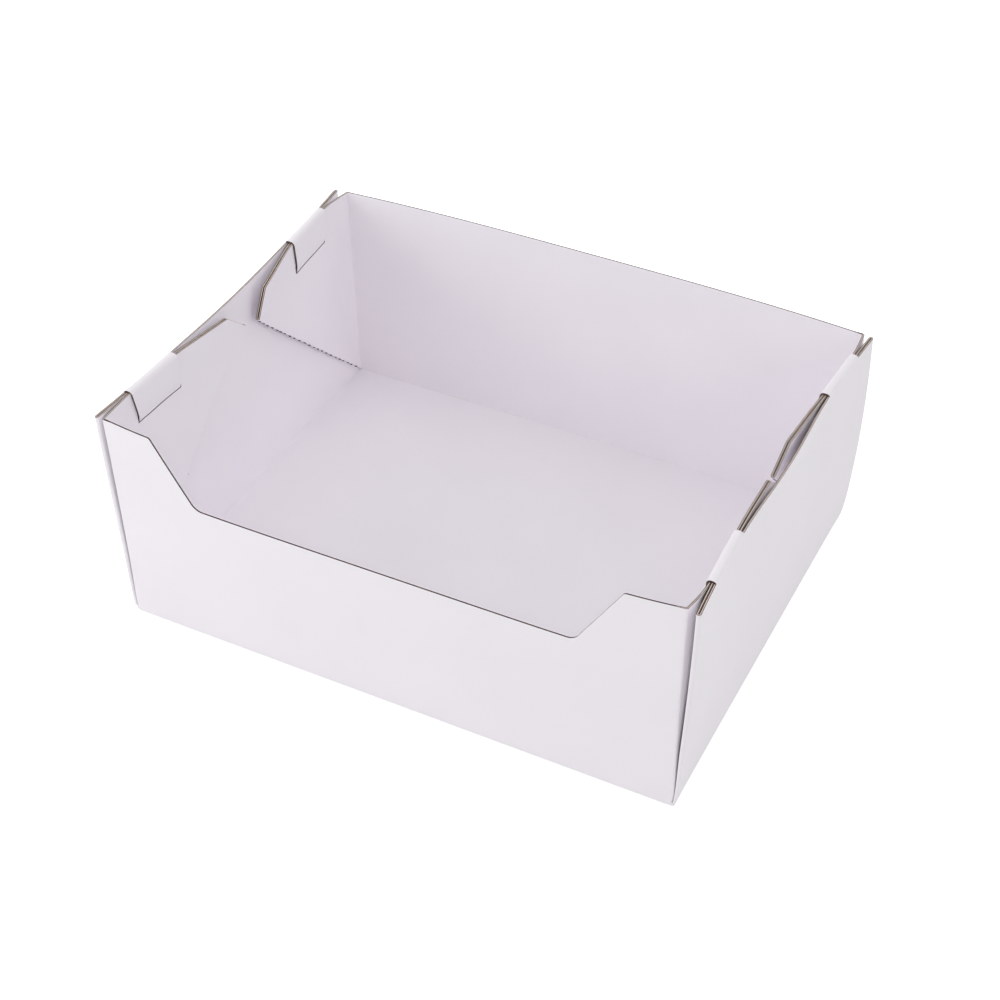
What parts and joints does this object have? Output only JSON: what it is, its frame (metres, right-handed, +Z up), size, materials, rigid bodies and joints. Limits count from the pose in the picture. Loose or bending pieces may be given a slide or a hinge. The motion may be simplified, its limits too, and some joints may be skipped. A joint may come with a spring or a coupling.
{
  "type": "cardboard litter box",
  "caption": "Open cardboard litter tray folded from one sheet, with a low front entry, webbed leakproof corners and lock tabs over the side walls.",
  "frame": {"origin": "centre of the tray's footprint, on the underside of the floor", "axes": "+X along the front wall, +Y from the front entry to the back wall, +Z up from the floor to the rim"},
  "size_m": [0.453, 0.3375, 0.1787],
  "materials": {
    "white_board": "matt white uncoated liner with brown cut edges"
  },
  "bodies": {
    "tray": {"folded_tray": "white_board"},
    "tab_front_left": {"lock_tab_front_left": "white_board"},
    "tab_front_right": {"lock_tab_front_right": "white_board"},
    "tab_rear_left": {"lock_tab_rear_left": "white_board"},
    "tab_rear_right": {"lock_tab_rear_right": "white_board"}
  },
  "joints": [
    {"name": "front_left_hinge", "type": "hinge", "parent": "tray", "child": "tab_front_left", "pos_m": [-0.22278, -0.106, 0.177], "axis": [-0.0487, -0.9988, 0], "range_deg": [0, 150]},
    {"name": "front_right_hinge", "type": "hinge", "parent": "tray", "child": "tab_front_right", "pos_m": [0.22278, -0.106, 0.177], "axis": [-0.0487, 0.9988, 0], "range_deg": [0, 150]},
    {"name": "rear_left_hinge", "type": "hinge", "parent": "tray", "child": "tab_rear_left", "pos_m": [-0.22278, 0.106, 0.177], "axis": [0.0487, -0.9988, 0], "range_deg": [0, 150]},
    {"name": "rear_right_hinge", "type": "hinge", "parent": "tray", "child": "tab_rear_right", "pos_m": [0.22278, 0.106, 0.177], "axis": [0.0487, 0.9988, 0], "range_deg": [0, 150]}
  ]
}
